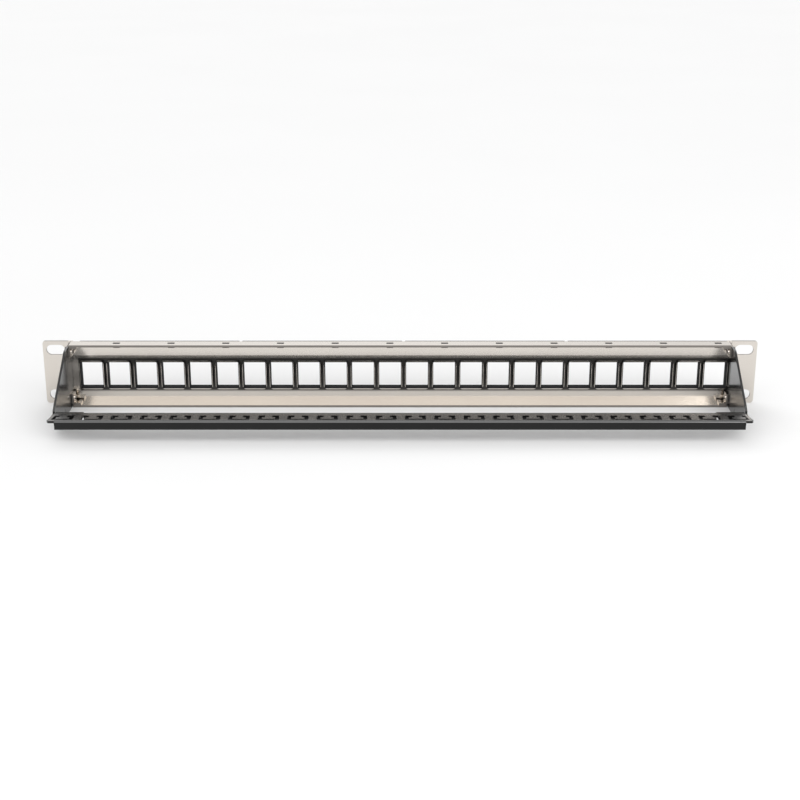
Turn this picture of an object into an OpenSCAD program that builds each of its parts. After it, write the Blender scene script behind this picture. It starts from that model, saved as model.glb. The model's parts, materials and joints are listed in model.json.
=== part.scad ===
// Rack-mount patch panel, one rack unit high, with 24 empty keystone ports and a rear cable bar.
// X runs across the rack, +Y to the front of the rack, +Z up.
// The origin is the middle of the plane of the ears' rear faces, which lie against the rack rails.

/* [Panel] */
// Overall width across the ears
panel_w = 482.6; // [480:0.1:484]
// Overall height
panel_h = 44; // [43:0.1:44.4]
// Sheet thickness of the chassis
sheet = 1.5; // [1.2:0.1:1.6]
// Depth of the top and bottom flanges behind the face
flange_depth = 9.5; // [8:0.5:12]

/* [Ports] */
// Number of ports, in groups of six
port_count = 24; // [12:6:24]
// Distance from port to port
port_pitch = 18.36; // [18.3:0.01:18.4]
// Offset of the port row from the panel's middle, towards +X
port_dx = 2.4; // [2.2:0.1:2.4]
// Clear width of a port
port_w = 14.8; // [14:0.1:14.8]
// Clear height of a port
port_h = 18.2; // [16:0.1:18.4]
// Height of the port centres above the panel's middle
port_z = -1.3; // [-1.5:0.1:-0.5]
// How far the drawn collars stand behind the face
collar_depth = 2.5; // [1.5:0.1:3]
// Wall thickness of a drawn collar above and below the port
collar_wall = 0.6; // [0.5:0.05:0.7]
// Wall thickness of a drawn collar beside the port
collar_side = 0.35; // [0.3:0.05:0.4]

/* [Rack ears] */
// Distance between the slots across the rack
slot_dx = 465.1; // [465.1:0.1:465.1]
// Distance between the slots up the rack
slot_dz = 31.75; // [31.75:0.01:31.75]
// Length of a slot
slot_len = 12.6; // [10:0.1:13]
// Width of a slot
slot_w = 7; // [6.5:0.1:7.2]

/* [Front bezels] */
// Thickness of a bezel in front of the face
bezel_t = 3.2; // [3:0.1:4]
// Height of a bezel
bezel_h = 41.6; // [41:0.1:42]
// Wall thickness of the sleeves that line the ports
sleeve_wall = 0.4; // [0.3:0.1:0.5]
// Height of the label window
label_h = 8; // [7:0.5:8.5]

/* [Cable bar] */
// Rear edge of the tray, measured behind the face
tray_back = 75.5; // [70:0.5:80]
// Depth of the tray's flat plate
tray_depth = 16.7; // [16:0.1:20]
// Height of the tray's top face
tray_z = -7.5; // [-9:0.5:-6]
// Height of the down-turned lip
lip_h = 5.9; // [5:0.1:8]
// Half width of the lip
lip_half = 219.2; // [216:0.1:220]
// Sheet thickness of the tray and arms
bar_sheet = 1.5; // [1.2:0.1:1.5]
// Half distance between the arms
arm_in = 222.3; // [222.3:0.1:222.5]
// Number of tie slots in the tray
tie_count = 24; // [12:1:24]
// Distance from tie slot to tie slot
tie_pitch = 18.72; // [18.4:0.01:18.8]
// Offset of the tie slot row from the tray's middle, towards +X
tie_dx = 0.5; // [0:0.1:0.6]

/* [Hidden] */
$fn = 48;
eps = 0.01;
half_w = panel_w / 2;
half_h = panel_h / 2;

// Ports and the openings that the collars surround
sleeve_gap = 0.05;
sleeve_recess = 0.1;
sleeve_w = port_w + 2 * sleeve_wall;
sleeve_h = port_h + 2 * sleeve_wall;
opening_w = sleeve_w + 2 * sleeve_gap;
opening_h = sleeve_h + 2 * sleeve_gap;
opening_r = 0.8;
collar_r = 2.6;
group = 6;
group_count = port_count / group;
valley_w = port_pitch - opening_w - 2 * collar_side;
valley_r = valley_w / 2 + 0.07;
valley_h = port_h - 2;
valley_root = 0.3;

// Folds of the chassis
bend_r = 2;
ear_r = 2;
ear_bevel_w = 2;
ear_bevel_t = 0.35;
flange_half = 221.6;
ear_lap = 1;

// Latches: a finger passes under the top flange and hooks up into a slot in it
latch_w = 4.4;
latch_gap = 0.15;
latch_t = 1.3;
latch_y = -4.6;
latch_hook = 2.4;
latch_top = half_h - 0.3;
finger_top = half_h - sheet - 0.15;

// Bezels
bezel_gap = 0.4;
bezel_w = group * port_pitch - bezel_gap;
bezel_r = 1.5;
bezel_back = sheet + 0.05;
bezel_front = bezel_back + bezel_t;
label_z = 14.9;
label_w = bezel_w - 6;
label_r = 0.8;
label_t = 0.3;
label_floor = bezel_front - 1.7;
label_seat = 0.02;
label_margin = 0.5;
cover_t = 1;
cover_gap = 0.15;
chamfer = 0.8;

// Corner brackets: small angles welded under the top flange and on the bottom flange, just inside the arms
bracket_t = 1.3;
bracket_gap = 0.15;
bracket_out = arm_in - bracket_gap;
bracket_in = bracket_out - bracket_t;
bracket_leg = 5.8;
bracket_h = 7.6;
bracket_front = -2;
bracket_rear = -9;
bracket_r = 1.5;
bracket_seat = 0.02;

// Arms: flat plates outside the brackets and past the ends of the flanges
arm_out = arm_in + bar_sheet;
arm_front = -0.4;
arm_top = 20;
arm_step_y = -15;
arm_low_y = -54.5;
arm_low_z = -4.8;
arm_corner_y = -57.8;
arm_corner_z = -7.4;
arm_foot_end = 2.5;
arm_foot_y = -65.5;
arm_floor_y = -46;
arm_top_r = 9;
arm_slope = atan2(arm_top - arm_low_z, arm_step_y - arm_low_y);
arm_tangent = arm_top_r * tan(arm_slope / 2);
relief_y = -28;
relief_w = 2.6;
relief_h = 6.5;
foot_in = 204;
foot_seat = 0.02;
foot_z = tray_z - bar_sheet - foot_seat;
foot_front_y = arm_corner_y - 1;

// Screws that clamp the arms to the brackets
screw_y = -5.6;
screw_z = [-16.4, 16.4];
screw_r = 1.5;
screw_slot_r = 1.85;
screw_head_r = 3.2;
screw_head_t = 0.9;
screw_head_in = arm_out + 0.05;
hex_r = 1.2;
hex_depth = 0.5;
nut_r = 2.2;
nut_t = 0.8;
nut_seat = 0.01;
nut_bore_r = 1.55;
bracket_hole_r = 1.65;

// Tray
tray_front_y = -(tray_back - tray_depth);
tray_back_y = -tray_back;
tray_far_half = 221.2;
tray_near_half = 224;
tray_tip_r = 1.6;
lip_bend_r = 1.7;
front_lip_half = foot_in - 0.6;
tie_w = 13.5;
tie_far_y = -65.3;
tie_near_y = -73.1;
tie_neck_w = 4.7;
tie_neck_l = 3.1;
tie_head_w = 8.5;
tie_head_l = 3;
tie_r = 0.5;
tie_strip = 1.9;
rivet_x = [208.5, 216.5];
rivet_y = -62.1;
rivet_r = 1.6;
rivet_fit = 0.02;
rivet_head_r = 2.4;
rivet_head_t = 0.25;
rivet_tail_t = 1;
rivet_foot = foot_z - bar_sheet - rivet_tail_t / 2;

function port_x(i) = port_dx + (i - (port_count - 1) / 2) * port_pitch;
function bezel_x(g) = port_dx + (g - (group_count - 1) / 2) * group * port_pitch;
function tie_x(i) = tie_dx + (i - (tie_count - 1) / 2) * tie_pitch;

// ---- Shared outlines -------------------------------------------------------------------------

// Rectangle with true round corners, centred on the origin
module round_rect(w, h, r) {
    square([w - 2 * r, h], center = true);
    square([w, h - 2 * r], center = true);
    for (x = [-1, 1], y = [-1, 1])
        translate([x * (w / 2 - r), y * (h / 2 - r)])
            circle(r);
}

// Slot with round ends along X, centred on the origin
module slot_outline(length, width) {
    square([length - width, width], center = true);
    for (x = [-1, 1])
        translate([x * (length - width) / 2, 0])
            circle(width / 2);
}

// Stands an outline drawn in X and Z up, from y0 to y1
module upright(y0, y1) {
    translate([0, y1, 0])
        rotate([90, 0, 0])
            linear_extrude(y1 - y0)
                children();
}

// Extrudes an outline drawn in Y and Z along X, from x0 to x1
module sideways(x0, x1) {
    translate([x0, 0, 0])
        rotate([90, 0, 90])
            linear_extrude(x1 - x0)
                children();
}

// ---- Chassis ---------------------------------------------------------------------------------

// Section through the face and its top and bottom flanges, in Y and Z
module channel_outline() {
    difference() {
        union() {
            translate([-flange_depth, -half_h])
                square([flange_depth + sheet - bend_r, panel_h]);
            translate([sheet - bend_r - eps, -half_h + bend_r])
                square([bend_r + eps, panel_h - 2 * bend_r]);
            for (z = [-1, 1])
                translate([sheet - bend_r, z * (half_h - bend_r)])
                    circle(bend_r);
        }
        translate([-flange_depth - 1, -half_h + sheet])
            square([flange_depth + 1, panel_h - 2 * sheet]);
    }
}

// Section through one ear, in X and Y, with a shallow bevel along its outer edge
module ear_section() {
    polygon([
        [flange_half - ear_lap, 0],
        [half_w - ear_bevel_w, 0],
        [half_w, ear_bevel_t],
        [half_w, sheet],
        [flange_half - ear_lap, sheet]
    ]);
}

// One ear with rounded outer corners, on the +X side
module ear() {
    intersection() {
        translate([0, 0, -half_h])
            linear_extrude(panel_h)
                ear_section();
        upright(-1, sheet + 1)
            union() {
                round_rect(panel_w, panel_h, ear_r);
                square([panel_w - 4 * ear_r, panel_h], center = true);
            }
    }
}

module port_collars() {
    for (i = [0:port_count - 1])
        translate([port_x(i), 0, port_z])
            upright(-collar_depth, eps)
                round_rect(opening_w + 2 * collar_side, opening_h + 2 * collar_wall, collar_r);
}

// Rounded troughs at the root of the collars, between one port and the next
module collar_valleys() {
    for (i = [0:port_count - 2])
        translate([port_x(i) + port_pitch / 2, 0, port_z - valley_h / 2])
            linear_extrude(valley_h)
                difference() {
                    translate([-valley_w / 2 - valley_root, -valley_r])
                        square([valley_w + 2 * valley_root, valley_r + eps]);
                    translate([0, -valley_r])
                        circle(valley_r);
                }
}

module port_cutouts() {
    for (i = [0:port_count - 1])
        translate([port_x(i), 0, port_z])
            upright(-collar_depth - 1, sheet + 1)
                round_rect(opening_w, opening_h, opening_r);
}

// Slots in the top flange, and the windows in the face that let the latch fingers reach them
module latch_cutouts() {
    for (i = [1:2:port_count - 1])
        translate([port_x(i), 0, 0]) {
            translate([-latch_w / 2 - latch_gap, latch_y - latch_hook / 2 - latch_gap, half_h - sheet - eps])
                cube([latch_w + 2 * latch_gap, latch_hook + 2 * latch_gap, sheet + 1]);
            translate([-latch_w / 2 - latch_gap, -eps, finger_top - latch_t - latch_gap])
                cube([latch_w + 2 * latch_gap, sheet + 1, latch_t + 2 * latch_gap]);
        }
}

module rack_slots() {
    for (x = [-1, 1], z = [-1, 1])
        translate([x * slot_dx / 2, 0, z * slot_dz / 2])
            upright(-1, sheet + 1)
                slot_outline(slot_len, slot_w);
}

module chassis() {
    color([0.78, 0.75, 0.71])
        difference() {
            union() {
                sideways(-flange_half, flange_half)
                    channel_outline();
                for (m = [0, 1])
                    mirror([m, 0, 0])
                        ear();
                port_collars();
                collar_valleys();
            }
            port_cutouts();
            latch_cutouts();
            rack_slots();
        }
}

// ---- Front bezels and labels -------------------------------------------------------------------

// A bezel stands for group g, counted from 0 at the -X end
module bezel_plate() {
    difference() {
        upright(bezel_back, bezel_front)
            round_rect(bezel_w, bezel_h, bezel_r);
        translate([0, 0, label_z])
            upright(label_floor, bezel_front + 1)
                round_rect(label_w, label_h, label_r);
    }
}

module bezel_sleeves() {
    for (i = [0:group - 1])
        translate([(i - (group - 1) / 2) * port_pitch, 0, port_z])
            upright(-collar_depth + sleeve_recess, bezel_back + eps)
                round_rect(sleeve_w, sleeve_h, opening_r);
}

module bezel_ports() {
    for (i = [0:group - 1])
        translate([(i - (group - 1) / 2) * port_pitch, 0, port_z]) {
            upright(-collar_depth - 1, bezel_front + 1)
                round_rect(port_w, port_h, opening_r - sleeve_wall);
            upright(bezel_front - chamfer, bezel_front + 1)
                round_rect(port_w + 2 * chamfer, port_h + 2 * chamfer, opening_r);
        }
}

// Latch fingers over every second port
module bezel_latches() {
    for (i = [1:2:group - 1])
        translate([(i - (group - 1) / 2) * port_pitch, 0, 0]) {
            translate([-latch_w / 2, latch_y - latch_hook / 2, finger_top - latch_t])
                cube([latch_w, bezel_back + eps - latch_y + latch_hook / 2, latch_t]);
            translate([-latch_w / 2, latch_y - latch_hook / 2, finger_top - eps])
                cube([latch_w, latch_hook, latch_top - finger_top + eps]);
        }
}

module front_bezel(g) {
    color([0.05, 0.05, 0.06])
        translate([bezel_x(g), 0, 0])
            difference() {
                union() {
                    bezel_plate();
                    bezel_sleeves();
                    bezel_latches();
                }
                bezel_ports();
            }
}

module label_strip(g) {
    color([0.93, 0.93, 0.90])
        translate([bezel_x(g), 0, label_z])
            upright(label_floor + label_seat, label_floor + label_seat + label_t)
                round_rect(label_w - 2 * label_margin, label_h - 2 * label_margin, label_margin);
}

module label_cover(g) {
    color([0.80, 0.85, 0.88, 0.4])
        translate([bezel_x(g), 0, label_z])
            upright(bezel_front - cover_t, bezel_front)
                round_rect(label_w - 2 * cover_gap, label_h - 2 * cover_gap, label_r - cover_gap);
}

module front_bezel_1() { front_bezel(0); }
module front_bezel_2() { front_bezel(1); }
module front_bezel_3() { front_bezel(2); }
module front_bezel_4() { front_bezel(3); }
module label_strip_1() { label_strip(0); }
module label_strip_2() { label_strip(1); }
module label_strip_3() { label_strip(2); }
module label_strip_4() { label_strip(3); }
module label_cover_1() { label_cover(0); }
module label_cover_2() { label_cover(1); }
module label_cover_3() { label_cover(2); }
module label_cover_4() { label_cover(3); }

// ---- Cable bar ---------------------------------------------------------------------------------

// Plan of one tie slot in X and Y: a rectangle with a T-shaped tongue standing into it from the panel's side
module tie_slot_plan() {
    mid_y = (tie_far_y + tie_near_y) / 2;
    difference() {
        translate([0, mid_y])
            round_rect(tie_w, tie_far_y - tie_near_y, tie_r);
        translate([-tie_neck_w / 2, tie_far_y - tie_neck_l - eps])
            square([tie_neck_w, tie_neck_l + 1]);
        translate([0, tie_far_y - tie_neck_l - tie_head_l / 2])
            round_rect(tie_head_w, tie_head_l, tie_r);
    }
}

// Plan of all the tie slots: the sides of the end slots run parallel to the plate's slanted ends
module tie_slots_plan() {
    intersection() {
        for (i = [0:tie_count - 1])
            translate([tie_x(i), 0])
                tie_slot_plan();
        polygon([
            [-tray_far_half + tie_strip, tray_front_y],
            [tray_far_half - tie_strip, tray_front_y],
            [tray_near_half - tie_strip, tray_back_y],
            [-tray_near_half + tie_strip, tray_back_y]
        ]);
    }
}

// Plan of the tray's flat plate: its ends spread towards the rear, with round rear corners
module tray_plan() {
    tip_y = tray_back_y + tray_tip_r;
    tip_x = tray_near_half - tray_tip_r;
    polygon([
        [-tray_far_half, tray_front_y],
        [-front_lip_half, tray_front_y],
        [-front_lip_half, tray_front_y - lip_bend_r],
        [front_lip_half, tray_front_y - lip_bend_r],
        [front_lip_half, tray_front_y],
        [tray_far_half, tray_front_y],
        [tray_near_half, tip_y],
        [tip_x, tip_y - eps],
        [tip_x, tray_back_y],
        [lip_half, tray_back_y],
        [lip_half, tray_back_y + lip_bend_r],
        [-lip_half, tray_back_y + lip_bend_r],
        [-lip_half, tray_back_y],
        [-tip_x, tray_back_y],
        [-tip_x, tip_y - eps],
        [-tray_near_half, tip_y]
    ]);
    for (x = [-1, 1])
        translate([x * tip_x, tip_y])
            circle(tray_tip_r);
}

// Section through a rounded bend and its lip, in Y and Z: the lip's outer face is at Y 0 and the plate runs to +Y
module lip_section() {
    lap = 0.5;
    difference() {
        union() {
            translate([lip_bend_r, tray_z - lip_bend_r])
                circle(lip_bend_r);
            translate([0, tray_z - lip_h])
                square([lip_bend_r, lip_h - lip_bend_r]);
            translate([lip_bend_r - eps, tray_z - bar_sheet])
                square([lap, bar_sheet]);
        }
        translate([bar_sheet, tray_z - lip_h - 1])
            square([lip_bend_r + lap, lip_h - bar_sheet + 1]);
    }
}

module cable_tray() {
    color([0.35, 0.35, 0.36])
        difference() {
            union() {
                translate([0, 0, tray_z - bar_sheet])
                    linear_extrude(bar_sheet)
                        tray_plan();
                sideways(-lip_half, lip_half)
                    translate([tray_back_y, 0])
                        lip_section();
                sideways(-front_lip_half, front_lip_half)
                    translate([tray_front_y, 0])
                        mirror([1, 0])
                            lip_section();
            }
            translate([0, 0, tray_z - bar_sheet - 1])
                linear_extrude(bar_sheet + 2)
                    tie_slots_plan();
            for (m = [-1, 1], x = rivet_x)
                translate([m * x, rivet_y, tray_z - bar_sheet - 1])
                    cylinder(h = bar_sheet + 2, r = rivet_r);
        }
}

// Side view of an arm in Y and Z
module arm_outline() {
    difference() {
        union() {
            polygon([
                [arm_front, -half_h],
                [arm_front, arm_top],
                [arm_step_y + arm_tangent, arm_top],
                [arm_step_y - arm_tangent * cos(arm_slope), arm_top - arm_tangent * sin(arm_slope)],
                [arm_low_y, arm_low_z],
                [arm_corner_y, arm_corner_z],
                [arm_corner_y, foot_z],
                [arm_foot_y, foot_z],
                [arm_foot_y, foot_z - arm_foot_end],
                [arm_floor_y, -half_h]
            ]);
            translate([arm_step_y + arm_tangent, arm_top - arm_top_r])
                circle(arm_top_r);
        }
        translate([relief_y, -half_h - eps])
            polygon([[-relief_w / 2, 0], [0, relief_h], [relief_w / 2, 0]]);
        for (z = screw_z)
            translate([screw_y, z]) {
                circle(screw_slot_r);
                translate([0, -screw_slot_r])
                    square([arm_front - screw_y + 1, 2 * screw_slot_r]);
            }
    }
}

// An arm on the +X side: the plate, and the foot folded in under the tray
module arm() {
    color([0.42, 0.42, 0.42])
        difference() {
            union() {
                sideways(arm_in, arm_out)
                    arm_outline();
                translate([foot_in, arm_foot_y, foot_z - bar_sheet])
                    cube([arm_in - foot_in + eps, foot_front_y - arm_foot_y, bar_sheet]);
            }
            for (x = rivet_x)
                translate([x, rivet_y, foot_z - bar_sheet - 1])
                    cylinder(h = bar_sheet + 2, r = rivet_r);
        }
}

module right_arm() { arm(); }
module left_arm() { mirror([1, 0, 0]) arm(); }

// Flush rivets, on the +X side
module rivets() {
    color([0.5, 0.5, 0.5])
        for (x = rivet_x)
            translate([x, rivet_y, 0]) {
                translate([0, 0, rivet_foot])
                    cylinder(h = tray_z - rivet_foot + eps, r = rivet_r - rivet_fit);
                translate([0, 0, tray_z])
                    cylinder(h = rivet_head_t, r = rivet_head_r);
                translate([0, 0, foot_z - bar_sheet - rivet_tail_t])
                    cylinder(h = rivet_tail_t - rivet_fit, r = rivet_head_r);
            }
}

module right_rivets() { rivets(); }
module left_rivets() { mirror([1, 0, 0]) rivets(); }

// ---- Corner brackets ----------------------------------------------------------------------------

// The bracket at the top of the +X side: one leg under the flange, the other down beside the arm
module bracket() {
    top = half_h - sheet - bracket_seat;
    depth = bracket_front - bracket_rear;
    difference() {
        union() {
            translate([bracket_out - bracket_leg, bracket_rear, top - bracket_t])
                cube([bracket_leg - bracket_r, depth, bracket_t]);
            translate([bracket_in, bracket_rear, top - bracket_h])
                cube([bracket_t, depth, bracket_h - bracket_r]);
            intersection() {
                translate([bracket_out - bracket_r, bracket_rear, top - bracket_r])
                    rotate([-90, 0, 0])
                        cylinder(h = depth, r = bracket_r);
                translate([bracket_out - bracket_r - eps, bracket_rear, top - bracket_r - eps])
                    cube([bracket_r + eps, depth, bracket_r + eps]);
            }
        }
        translate([bracket_in - 1, screw_y, screw_z[1]])
            rotate([0, 90, 0])
                cylinder(h = bracket_t + 2, r = bracket_hole_r);
    }
}

module brackets() {
    color([0.78, 0.75, 0.71])
        for (m = [0, 1])
            mirror([0, 0, m])
                bracket();
}

module right_brackets() { brackets(); }
module left_brackets() { mirror([1, 0, 0]) brackets(); }

// ---- Screws and nuts ----------------------------------------------------------------------------

module screws() {
    color([0.75, 0.75, 0.75])
        for (z = screw_z)
            translate([0, screw_y, z])
                rotate([0, 90, 0])
                    difference() {
                        union() {
                            translate([0, 0, bracket_in - nut_t])
                                cylinder(h = screw_head_in - bracket_in + nut_t + eps, r = screw_r);
                            translate([0, 0, screw_head_in])
                                cylinder(h = screw_head_t, r = screw_head_r);
                        }
                        translate([0, 0, screw_head_in + screw_head_t - hex_depth])
                            cylinder(h = hex_depth + 1, r = hex_r, $fn = 6);
                    }
}

module right_screws() { screws(); }
module left_screws() { mirror([1, 0, 0]) screws(); }

module clinch_nuts() {
    color([0.70, 0.70, 0.68])
        for (z = screw_z)
            translate([bracket_in - nut_t - nut_seat, screw_y, z])
                rotate([0, 90, 0])
                    difference() {
                        cylinder(h = nut_t, r = nut_r);
                        translate([0, 0, -1])
                            cylinder(h = nut_t + 2, r = nut_bore_r);
                    }
}

module right_clinch_nuts() { clinch_nuts(); }
module left_clinch_nuts() { mirror([1, 0, 0]) clinch_nuts(); }

chassis();
front_bezel_1();
front_bezel_2();
front_bezel_3();
front_bezel_4();
label_strip_1();
label_strip_2();
label_strip_3();
label_strip_4();
label_cover_1();
label_cover_2();
label_cover_3();
label_cover_4();
cable_tray();
left_arm();
right_arm();
left_rivets();
right_rivets();
left_brackets();
right_brackets();
left_screws();
right_screws();
left_clinch_nuts();
right_clinch_nuts();
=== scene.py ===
"""Looks for the rack-mount patch panel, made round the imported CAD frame.

Materials, printed port numbers, floor, light and camera.
"""

import json
import math

import bpy
from mathutils import Matrix, Vector


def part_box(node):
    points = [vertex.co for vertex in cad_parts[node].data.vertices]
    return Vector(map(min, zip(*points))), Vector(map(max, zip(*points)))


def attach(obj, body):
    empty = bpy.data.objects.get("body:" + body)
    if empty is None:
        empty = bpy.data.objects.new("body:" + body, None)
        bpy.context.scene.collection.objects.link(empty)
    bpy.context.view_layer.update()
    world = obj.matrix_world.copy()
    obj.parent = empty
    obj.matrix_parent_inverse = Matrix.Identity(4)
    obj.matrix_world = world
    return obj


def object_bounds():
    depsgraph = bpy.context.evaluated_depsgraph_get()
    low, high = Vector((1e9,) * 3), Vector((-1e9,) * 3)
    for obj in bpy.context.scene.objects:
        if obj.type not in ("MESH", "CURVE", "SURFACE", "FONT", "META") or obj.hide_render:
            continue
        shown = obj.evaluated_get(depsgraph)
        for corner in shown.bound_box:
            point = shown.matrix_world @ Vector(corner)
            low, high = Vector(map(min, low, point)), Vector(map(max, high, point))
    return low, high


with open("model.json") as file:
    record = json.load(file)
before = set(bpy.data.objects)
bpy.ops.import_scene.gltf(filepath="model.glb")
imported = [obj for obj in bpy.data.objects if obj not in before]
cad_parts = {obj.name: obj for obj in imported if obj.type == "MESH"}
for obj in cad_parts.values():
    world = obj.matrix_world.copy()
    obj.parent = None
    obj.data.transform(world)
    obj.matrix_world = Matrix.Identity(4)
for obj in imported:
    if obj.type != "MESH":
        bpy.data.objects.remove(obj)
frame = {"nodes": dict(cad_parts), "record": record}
cad_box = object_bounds()

MM = 0.001
NODES = frame["nodes"]
BODY_OF = {
    node: body
    for body, members in frame["record"]["behaviour"]["bodies"].items()
    for node in members
}
GROUPS = 4
PORTS_PER_GROUP = 6
PORTS = GROUPS * PORTS_PER_GROUP

# ---- Camera ------------------------------------------------------------------------------------

FOCAL_RATIO = 1.85  # focal length over picture width
SENSOR_MM = 36.0
CAMERA_PITCH = math.radians(19.5)
CAMERA_DISTANCE = 1011.8 * MM
AIM_ABOVE_BASE = 1.9 * MM
CLIP_NEAR = 0.05
CLIP_FAR = 60.0


def make_camera():
    """A camera behind the panel and above it, aimed just above the middle of its base."""
    low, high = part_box("chassis")
    aim = Vector(((low.x + high.x) / 2, 0.0, low.z + AIM_ABOVE_BASE))
    back = Vector((0.0, -math.cos(CAMERA_PITCH), math.sin(CAMERA_PITCH)))
    data = bpy.data.cameras.new("camera")
    data.sensor_width = SENSOR_MM
    data.lens = SENSOR_MM * FOCAL_RATIO
    data.clip_start = CLIP_NEAR
    data.clip_end = CLIP_FAR
    camera = bpy.data.objects.new("camera", data)
    camera.location = aim + back * CAMERA_DISTANCE
    camera.rotation_mode = "QUATERNION"
    camera.rotation_quaternion = (-back).to_track_quat("-Z", "Y")
    bpy.context.scene.collection.objects.link(camera)
    bpy.context.scene.camera = camera


# ---- Material helpers --------------------------------------------------------------------------


class Shader:
    """A small wrapper that makes a node material a line at a time."""

    def __init__(self, name):
        self.material = bpy.data.materials.new(name)
        self.material.use_nodes = True
        self.tree = self.material.node_tree
        self.bsdf = self.tree.nodes["Principled BSDF"]
        texture_coords = self.tree.nodes.new("ShaderNodeTexCoord")
        self.coords = texture_coords.outputs["Object"]
        self.normal = texture_coords.outputs["Normal"]

    def set(self, **values):
        """Sets the shader's own sockets, whose names are given with underscores for spaces."""
        for name, value in values.items():
            self.bsdf.inputs[name.replace("_", " ")].default_value = value

    def link(self, output, socket):
        self.tree.links.new(output, socket)

    def feed(self, value, socket):
        """Sets a socket to a number or a colour, or links another socket to it."""
        if isinstance(value, bpy.types.NodeSocket):
            self.link(value, socket)
        elif isinstance(value, tuple):
            socket.default_value = (*value, 1.0)
        else:
            socket.default_value = value

    def axes(self, vector):
        """The x, y and z of a vector."""
        node = self.tree.nodes.new("ShaderNodeSeparateXYZ")
        self.link(vector, node.inputs["Vector"])
        return node.outputs["X"], node.outputs["Y"], node.outputs["Z"]

    def math(self, operation, *values):
        """One math node, whose inputs are sockets or numbers."""
        node = self.tree.nodes.new("ShaderNodeMath")
        node.operation = operation
        for socket, value in zip(node.inputs, values):
            self.feed(value, socket)
        return node.outputs["Value"]

    def times(self, a, b):
        return self.math("MULTIPLY", a, b)

    def minus(self, a, b):
        return self.math("SUBTRACT", a, b)

    def larger(self, a, b):
        return self.math("MAXIMUM", a, b)

    def absolute(self, a):
        return self.math("ABSOLUTE", a)

    def is_above(self, a, b):
        """1 where a is greater than b."""
        return self.math("GREATER_THAN", a, b)

    def is_below(self, a, b):
        """1 where a is less than b."""
        return self.math("LESS_THAN", a, b)

    def noise(self, scale, detail=2.0, roughness=0.5, stretch=(1.0, 1.0, 1.0)):
        """Noise over the object, with stretch above 1 along the axes on which it runs in streaks."""
        mapping = self.tree.nodes.new("ShaderNodeMapping")
        mapping.inputs["Scale"].default_value = [1.0 / s for s in stretch]
        self.link(self.coords, mapping.inputs["Vector"])
        node = self.tree.nodes.new("ShaderNodeTexNoise")
        node.inputs["Scale"].default_value = scale
        node.inputs["Detail"].default_value = detail
        node.inputs["Roughness"].default_value = roughness
        self.link(mapping.outputs["Vector"], node.inputs["Vector"])
        return node.outputs["Fac"]

    def spread(self, value, low, high, start=0.3, end=0.7):
        """Maps a value from the range start to end on to the range low to high, and clamps it there."""
        node = self.tree.nodes.new("ShaderNodeMapRange")
        node.inputs["From Min"].default_value = start
        node.inputs["From Max"].default_value = end
        node.inputs["To Min"].default_value = low
        node.inputs["To Max"].default_value = high
        self.link(value, node.inputs["Value"])
        return node.outputs["Result"]

    def mix(self, factor, colour_a, colour_b):
        """Colour a where the factor is 0 and colour b where it is 1."""
        node = self.tree.nodes.new("ShaderNodeMix")
        node.data_type = "RGBA"
        sockets = {socket.identifier: socket for socket in node.inputs}
        self.feed(factor, sockets["Factor_Float"])
        self.feed(colour_a, sockets["A_Color"])
        self.feed(colour_b, sockets["B_Color"])
        return next(socket for socket in node.outputs if socket.identifier == "Result_Color")

    def mottle(self, pattern, colour_a, colour_b):
        """A colour that wanders between two others as a noise pattern does."""
        return self.mix(self.spread(pattern, 0.0, 1.0), colour_a, colour_b)

    def bump(self, height, strength, distance, normal=None):
        """The normal of a surface with this relief, on top of another relief if its normal is given."""
        node = self.tree.nodes.new("ShaderNodeBump")
        node.inputs["Strength"].default_value = strength
        node.inputs["Distance"].default_value = distance
        self.link(height, node.inputs["Height"])
        if normal is not None:
            self.link(normal, node.inputs["Normal"])
        return node.outputs["Normal"]

    def build(self, colour, roughness=None, normal=None):
        """Links what varies over the surface to the shader, and returns the material."""
        self.link(colour, self.bsdf.inputs["Base Color"])
        if roughness is not None:
            self.link(roughness, self.bsdf.inputs["Roughness"])
        if normal is not None:
            self.link(normal, self.bsdf.inputs["Normal"])
        return self.material


# ---- Nickel ------------------------------------------------------------------------------------

# The drawn collars round the ports
PORT_Z = -1.3 * MM
COLLAR_HALF_W = 8.2 * MM
COLLAR_HALF_H = 10.15 * MM
RIM_START = 2.1 * MM  # how far behind the face the collars' rims start
FACE_SLACK = 0.2 * MM
# Painted shade: the collar roots and the face round them are coloured dark, in place of the shade and dark
# reflections between the collars
COLLAR_SHADE_WIDTH = 1.0 * MM
COLLAR_SHADE_FADE = 2.6 * MM
COLLAR_SHADE_COLOUR = (0.06, 0.058, 0.055)
COLLAR_SHADE_ROUGHNESS = 0.3

# The lean of the shading above the port row
BOW_START = 12.0 * MM
BOW_SLOPE = 0.032

# The cut edges of the sheet
EAR_START = 224.0 * MM
FLANGE_END_DEPTH = 1.7 * MM
EDGE_FACING = 0.75
CUT_EDGE_COLOUR = (0.26, 0.24, 0.22)
CUT_EDGE_ROUGHNESS = 0.45


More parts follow.
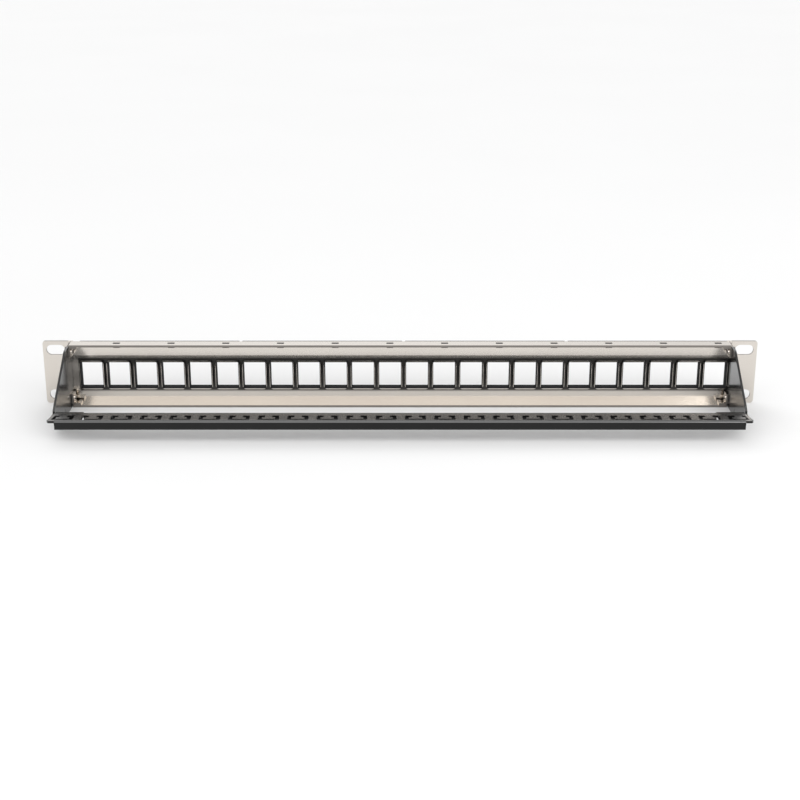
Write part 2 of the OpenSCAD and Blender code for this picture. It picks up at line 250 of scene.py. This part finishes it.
def nickel_material():
    """Bright nickel on rolled steel sheet, duller on the cut edges, with painted shade at the collar roots.
    """
    s = Shader("nickel_steel")
    s.set(Metallic=1.0, IOR=1.5)
    streaks = s.noise(scale=900.0, detail=4.0, roughness=0.6, stretch=(40.0, 1.0, 1.0))
    clouds = s.noise(scale=16.0, detail=3.0, roughness=0.55, stretch=(2.0, 1.0, 1.0))
    plated = s.mottle(clouds, (0.720, 0.675, 0.620), (0.685, 0.640, 0.590))
    edge = cut_edge_mask(s)
    # Painted shade and painted dark reflections at the roots of the collars
    painted_shade = collar_root_mask(s)
    colour = s.mix(painted_shade, s.mix(edge, plated, CUT_EDGE_COLOUR), COLLAR_SHADE_COLOUR)
    rough = s.larger(s.spread(clouds, 0.12, 0.17), s.times(edge, CUT_EDGE_ROUGHNESS))
    rough = s.larger(rough, s.times(painted_shade, COLLAR_SHADE_ROUGHNESS))
    bowed = s.bump(bow_height(s), strength=1.0, distance=1.0)
    normal = s.bump(streaks, strength=0.06, distance=0.02 * MM, normal=bowed)
    return s.build(colour, rough, normal)


def bow_height(s):
    """A relief that leans the shading above the port row upwards, as if the sheet were drawn in there.

    The mesh itself stays flat.
    """
    x, _, z = s.axes(s.coords)
    above = s.larger(s.minus(z, BOW_START), 0.0)
    inside = s.is_below(s.absolute(x), EAR_START)
    return s.times(s.times(above, -BOW_SLOPE), inside)


def cut_edge_mask(s):
    """1 on the sheet's cut edges: all round the ears, and at the rear of the flanges."""
    flange_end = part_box("chassis")[0].y
    x, y, _ = s.axes(s.coords)
    nx, ny, nz = s.axes(s.normal)
    on_ear = s.is_above(s.absolute(x), EAR_START)
    on_rim = s.is_above(s.larger(s.absolute(nz), s.absolute(nx)), EDGE_FACING)
    at_flange_end = s.is_below(y, flange_end + FLANGE_END_DEPTH)
    rearward = s.is_below(ny, -EDGE_FACING)
    return s.larger(s.times(on_ear, on_rim), s.times(at_flange_end, rearward))


def collar_root_mask(s):
    """Painted shade: 1 on the collars below their rims and on the face close round them, fading out away
    from the ports.
    """
    pitch = port_pitch()
    centre_x = (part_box("front_bezel_1")[0].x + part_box(f"front_bezel_{GROUPS}")[1].x) / 2
    x, y, z = s.axes(s.coords)
    # the middle of the row lies between two ports, so the distance to a port counts down from half a pitch
    to_divider = s.math("PINGPONG", s.minus(x, centre_x), pitch / 2)
    beyond_x = s.minus(s.minus(pitch / 2, to_divider), COLLAR_HALF_W)
    beyond_z = s.minus(s.absolute(s.minus(z, PORT_Z)), COLLAR_HALF_H)
    near = s.spread(s.larger(beyond_x, beyond_z), 1.0, 0.0, start=COLLAR_SHADE_WIDTH, end=COLLAR_SHADE_FADE)
    in_row = s.is_below(s.absolute(s.minus(x, centre_x)), pitch * PORTS / 2)
    below_rim = s.is_above(y, -RIM_START)
    behind_face = s.is_below(y, FACE_SLACK)
    return s.times(s.times(near, in_row), s.times(below_rim, behind_face))


# ---- Other materials ---------------------------------------------------------------------------

PAINT_IOR = 2.0
REAR_PAINT_IOR = 1.36
REAR_FULLY = -0.98  # the y of a normal that counts as turned straight rearward
REAR_NOT_AT_ALL = -0.90


def dark_metal_material():
    """Black glossy paint on sheet steel, with a faint orange peel.

    The faces turned straight rearward get a lower IOR, so they mirror less than the rest.
    """
    s = Shader("dark_metal")
    s.set(Metallic=0.0)
    _, ny, _ = s.axes(s.normal)
    rearward = s.spread(ny, 1.0, 0.0, start=REAR_FULLY, end=REAR_NOT_AT_ALL)
    s.link(s.spread(rearward, PAINT_IOR, REAR_PAINT_IOR, start=0.0, end=1.0), s.bsdf.inputs["IOR"])
    peel = s.noise(scale=700.0)
    clouds = s.noise(scale=22.0, detail=3.0)
    colour = s.mottle(clouds, (0.003, 0.003, 0.003), (0.006, 0.006, 0.006))
    return s.build(colour, s.spread(clouds, 0.17, 0.22), s.bump(peel, strength=0.05, distance=0.02 * MM))


def black_plastic_material():
    """Black moulded plastic with a fine spark-eroded grain."""
    s = Shader("black_plastic")
    s.set(IOR=1.5, Specular_IOR_Level=0.12)
    grain = s.noise(scale=2600.0, roughness=0.6)
    clouds = s.noise(scale=30.0)
    colour = s.mottle(clouds, (0.006, 0.006, 0.007), (0.010, 0.010, 0.011))
    return s.build(colour, s.spread(grain, 0.70, 0.85), s.bump(grain, strength=0.30, distance=0.04 * MM))


def label_paper_material():
    """Matt white label card with a slight fibre texture."""
    s = Shader("label_paper")
    s.set(Roughness=0.85, IOR=1.45)
    fibre = s.noise(scale=1500.0, detail=4.0, roughness=0.7)
    colour = s.mottle(fibre, (0.82, 0.82, 0.79), (0.88, 0.88, 0.86))
    return s.build(colour, normal=s.bump(fibre, strength=0.2, distance=0.02 * MM))


def clear_plastic_material():
    """Clear moulded cover, very slightly wavy."""
    s = Shader("clear_plastic")
    s.set(IOR=1.49, Base_Color=(0.96, 0.98, 0.98, 1.0), Transmission_Weight=1.0)
    wave = s.noise(scale=60.0)
    s.link(s.spread(wave, 0.02, 0.06), s.bsdf.inputs["Roughness"])
    s.link(s.bump(wave, strength=0.05, distance=0.05 * MM), s.bsdf.inputs["Normal"])
    return s.material


def blackened_material():
    """Blackened steel with a slightly mottled finish."""
    s = Shader("black_fastener")
    s.set(IOR=1.5)
    patches = s.noise(scale=500.0, detail=3.0, roughness=0.6)
    colour = s.mottle(patches, (0.020, 0.020, 0.021), (0.032, 0.032, 0.033))
    return s.build(colour, s.spread(patches, 0.35, 0.50), s.bump(patches, strength=0.1, distance=0.02 * MM))


def ink_material():
    """Black printing ink with a slight unevenness."""
    s = Shader("label_ink")
    s.set(Roughness=0.6, IOR=1.45)
    blots = s.noise(scale=2000.0)
    return s.build(s.mottle(blots, (0.012, 0.012, 0.014), (0.03, 0.03, 0.033)))


# ---- CAD nodes ---------------------------------------------------------------------------------

PLANAR_LIMIT = math.radians(0.5)
EDGE_LIMIT = math.radians(32.0)
EDGE_SEGMENTS = 2

# How far each kind of edge is rounded
PLATED_ROUND = 0.15 * MM
PAINTED_ROUND = 0.18 * MM
BEZEL_ROUND = 0.12 * MM
COVER_ROUND = 0.15 * MM
SCREW_ROUND = 0.1 * MM
RIVET_ROUND = 0.08 * MM


def port_pitch():
    """Distance from port to port: a sixth of the distance between two bezels."""
    return (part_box("front_bezel_2")[0].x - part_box("front_bezel_1")[0].x) / PORTS_PER_GROUP


def soften_edges(obj, width):
    """Rounds a CAD node's sharp edges a little, as deburred sheet or moulded plastic has them."""
    merge = obj.modifiers.new("merge_flat", "DECIMATE")
    merge.decimate_type = "DISSOLVE"
    merge.angle_limit = PLANAR_LIMIT
    bevel = obj.modifiers.new("edge_round", "BEVEL")
    bevel.limit_method = "ANGLE"
    bevel.angle_limit = EDGE_LIMIT
    bevel.width = width
    bevel.segments = EDGE_SEGMENTS
    bevel.use_clamp_overlap = False
    bevel.harden_normals = True


def dress(node, material, rounding=None):
    """Gives a CAD node its material, and rounds its edges if a rounding is given."""
    obj = NODES[node]
    obj.data.materials.clear()
    obj.data.materials.append(material)
    if rounding is not None:
        soften_edges(obj, rounding)


def dress_nodes():
    """Dresses every CAD node."""
    nickel = nickel_material()
    dark = dark_metal_material()
    plastic = black_plastic_material()
    paper = label_paper_material()
    clear = clear_plastic_material()
    black_steel = blackened_material()
    for node in ("chassis", "left_brackets", "right_brackets", "left_clinch_nuts", "right_clinch_nuts"):
        dress(node, nickel, PLATED_ROUND)
    for node in ("cable_tray", "left_arm", "right_arm"):
        dress(node, dark, PAINTED_ROUND)
    for i in range(1, GROUPS + 1):
        dress(f"front_bezel_{i}", plastic, BEZEL_ROUND)
        dress(f"label_strip_{i}", paper)
        dress(f"label_cover_{i}", clear, COVER_ROUND)
    for side in ("left", "right"):
        dress(f"{side}_screws", black_steel, SCREW_ROUND)
        dress(f"{side}_rivets", dark, RIVET_ROUND)


# ---- Printed port numbers ----------------------------------------------------------------------

DIGIT_H = 4.2 * MM
INK_T = 0.04 * MM
STAND_UP = Matrix.Rotation(math.pi / 2, 4, "X")
FACE_FRONT = Matrix.Rotation(math.pi, 4, "Z")


def printed_number(number, x, y, z):
    """A number as a text object that stands up and is read from the panel's front."""
    data = bpy.data.curves.new(f"number_{number}", "FONT")
    data.body = str(number)
    data.size = DIGIT_H
    data.align_x = "CENTER"
    data.align_y = "CENTER"
    data.extrude = INK_T / 2
    obj = bpy.data.objects.new(f"number_{number}", data)
    obj.matrix_world = Matrix.Translation((x, y, z)) @ FACE_FRONT @ STAND_UP
    bpy.context.scene.collection.objects.link(obj)
    return obj


def port_numbers():
    """Plain port numbers printed on the label strips, one piece for each strip.

    They are read from the front, so they count up from the +X end.
    """
    ink = ink_material()
    pitch = port_pitch()
    for g in range(1, GROUPS + 1):
        low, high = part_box(f"label_strip_{g}")
        centre_x = (low.x + high.x) / 2
        parts = []
        for i in range(PORTS_PER_GROUP):
            x = centre_x + (i - (PORTS_PER_GROUP - 1) / 2) * pitch
            number = PORTS - ((g - 1) * PORTS_PER_GROUP + i)
            parts.append(printed_number(number, x, high.y + INK_T / 2, (low.z + high.z) / 2))
        joined = join_as_mesh(parts, f"port_numbers_{g}")
        joined.data.materials.append(ink)
        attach(joined, BODY_OF[f"label_strip_{g}"])


def join_as_mesh(parts, name):
    """Turns text objects into one mesh object."""
    bpy.context.view_layer.update()
    graph = bpy.context.evaluated_depsgraph_get()
    verts = []
    faces = []
    for part in parts:
        mesh = part.evaluated_get(graph).to_mesh()
        start = len(verts)
        verts.extend(part.matrix_world @ v.co for v in mesh.vertices)
        faces.extend([start + i for i in p.vertices] for p in mesh.polygons)
        part.evaluated_get(graph).to_mesh_clear()
    mesh = bpy.data.meshes.new(name)
    mesh.from_pydata([tuple(v) for v in verts], [], faces)
    mesh.validate()
    for part in parts:
        bpy.data.objects.remove(part)
    obj = bpy.data.objects.new(name, mesh)
    bpy.context.scene.collection.objects.link(obj)
    return obj


# ---- Floor and light ---------------------------------------------------------------------------

FLOOR_HALF = 12.0
FLOOR_GREY = 0.88
FLOOR_MOTTLE = 0.99


def make_floor():
    """A wide matt white floor, level with the lowest point of the panel."""
    low = cad_box[0]
    mesh = bpy.data.meshes.new("floor")
    corners = [(x * FLOOR_HALF, y * FLOOR_HALF, low.z) for x, y in ((-1, -1), (1, -1), (1, 1), (-1, 1))]
    mesh.from_pydata(corners, [], [(0, 1, 2, 3)])
    floor = bpy.data.objects.new("floor", mesh)
    bpy.context.scene.collection.objects.link(floor)
    s = Shader("floor_white")
    s.set(Roughness=0.9, Specular_IOR_Level=0.1)
    clouds = s.noise(scale=3.0)
    mesh.materials.append(s.build(s.mottle(clouds, (FLOOR_GREY,) * 3, (FLOOR_GREY * FLOOR_MOTTLE,) * 3)))


# The studio is a white tent with soft glows on it. A glow has a bearing (0 is out from the panel's front,
# 90 is at its +X end and 180 is on the camera's side), a height above the horizon, both in degrees, and a
# brightness.
TENT_LEVEL = 0.28
GLOW_SHARPNESS = 14.0
LOW = 10
HALFWAY = 36
WALL_GLOW = 1.1
GLOWS = (
    (0, HALFWAY, 1.45),
    (45, LOW, WALL_GLOW),
    (90, LOW, 0.85),
    (135, LOW, WALL_GLOW),
    (135, HALFWAY, WALL_GLOW),
    (180, 28, 1.2),
    (180, 62, 1.85),
    (225, LOW, WALL_GLOW),
    (225, HALFWAY, WALL_GLOW),
    (315, LOW, WALL_GLOW),
    (315, HALFWAY, WALL_GLOW),
)


def direction_of(bearing, height):
    """The unit vector towards a bearing and a height in degrees."""
    b, h = math.radians(bearing), math.radians(height)
    return (math.sin(b) * math.cos(h), math.cos(b) * math.cos(h), math.sin(h))


def make_tent():
    """The white tent with its glows, as the world's background."""
    world = bpy.data.worlds.new("studio")
    bpy.context.scene.world = world
    world.use_nodes = True
    nodes = world.node_tree.nodes
    links = world.node_tree.links
    direction = nodes.new("ShaderNodeTexCoord").outputs["Generated"]

    def math_node(operation, *values):
        node = nodes.new("ShaderNodeMath")
        node.operation = operation
        for socket, value in zip(node.inputs, values):
            if isinstance(value, bpy.types.NodeSocket):
                links.new(value, socket)
            else:
                socket.default_value = value
        return node.outputs["Value"]

    total = TENT_LEVEL
    for bearing, height, brightness in GLOWS:
        along = nodes.new("ShaderNodeVectorMath")
        along.operation = "DOT_PRODUCT"
        links.new(direction, along.inputs[0])
        along.inputs[1].default_value = direction_of(bearing, height)
        exponent = math_node("MULTIPLY_ADD", along.outputs["Value"], GLOW_SHARPNESS, -GLOW_SHARPNESS)
        total = math_node("MULTIPLY_ADD", math_node("EXPONENT", exponent), brightness, total)
    background = nodes["Background"]
    background.inputs["Color"].default_value = (1.0, 1.0, 1.0, 1.0)
    links.new(total, background.inputs["Strength"])


SIDE_LIGHT_AT = Vector((0.6, -0.8, 0.5))
SIDE_LIGHT_SIZE = 0.5
SIDE_LIGHT_WATTS = 2.0


def make_side_light():
    """A soft square light on the camera's side and towards +X, aimed at the panel's origin."""
    data = bpy.data.lights.new("front_right", "AREA")
    data.shape = "SQUARE"
    data.size = SIDE_LIGHT_SIZE
    data.energy = SIDE_LIGHT_WATTS
    light = bpy.data.objects.new("front_right", data)
    light.location = SIDE_LIGHT_AT
    light.rotation_mode = "QUATERNION"
    light.rotation_quaternion = (-SIDE_LIGHT_AT).to_track_quat("-Z", "Y")
    bpy.context.scene.collection.objects.link(light)


make_camera()
dress_nodes()
port_numbers()
make_floor()
make_tent()
make_side_light()
bpy.context.scene.view_settings.view_transform = "Standard"
